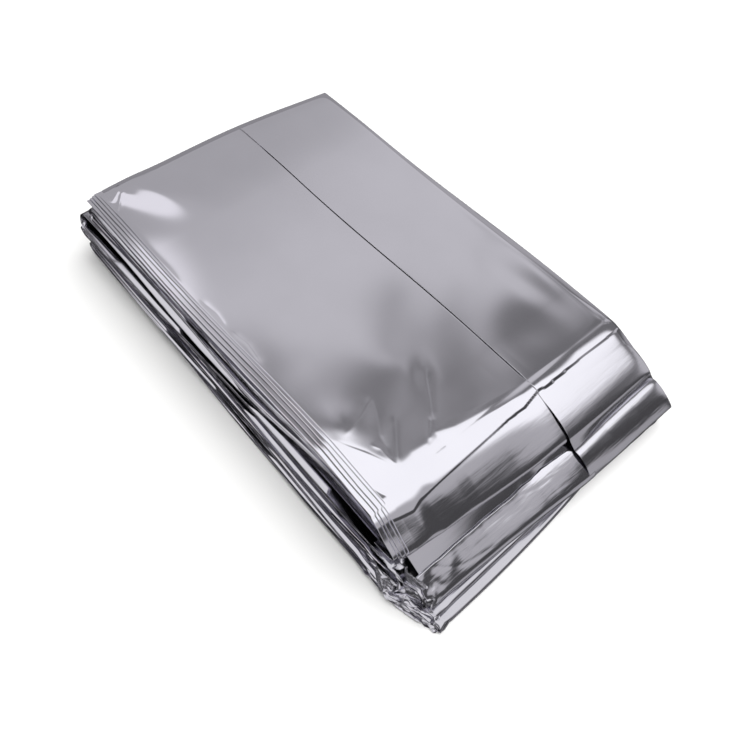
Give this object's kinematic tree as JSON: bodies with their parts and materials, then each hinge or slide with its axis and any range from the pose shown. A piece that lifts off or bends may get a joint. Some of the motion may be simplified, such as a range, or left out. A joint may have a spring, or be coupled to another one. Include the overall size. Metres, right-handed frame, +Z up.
{
  "type": "emergency foil blanket",
  "caption": "Emergency foil blanket folded into a flat pocket-size pack, its layers of metallised film going back and forth with rounded front folds.",
  "frame": {"origin": "middle of the pack's box at its underside, on the surface that it rests on", "axes": "+X along the layers towards the rounded front folds, +Y across the pack to the side of the narrow top leaf, +Z up"},
  "size_m": [0.144, 0.0882, 0.0226],
  "materials": {
    "foil": "mirror-bright metallised film with soft creases"
  },
  "bodies": {
    "root": {"blanket": "foil"}
  },
  "joints": []
}
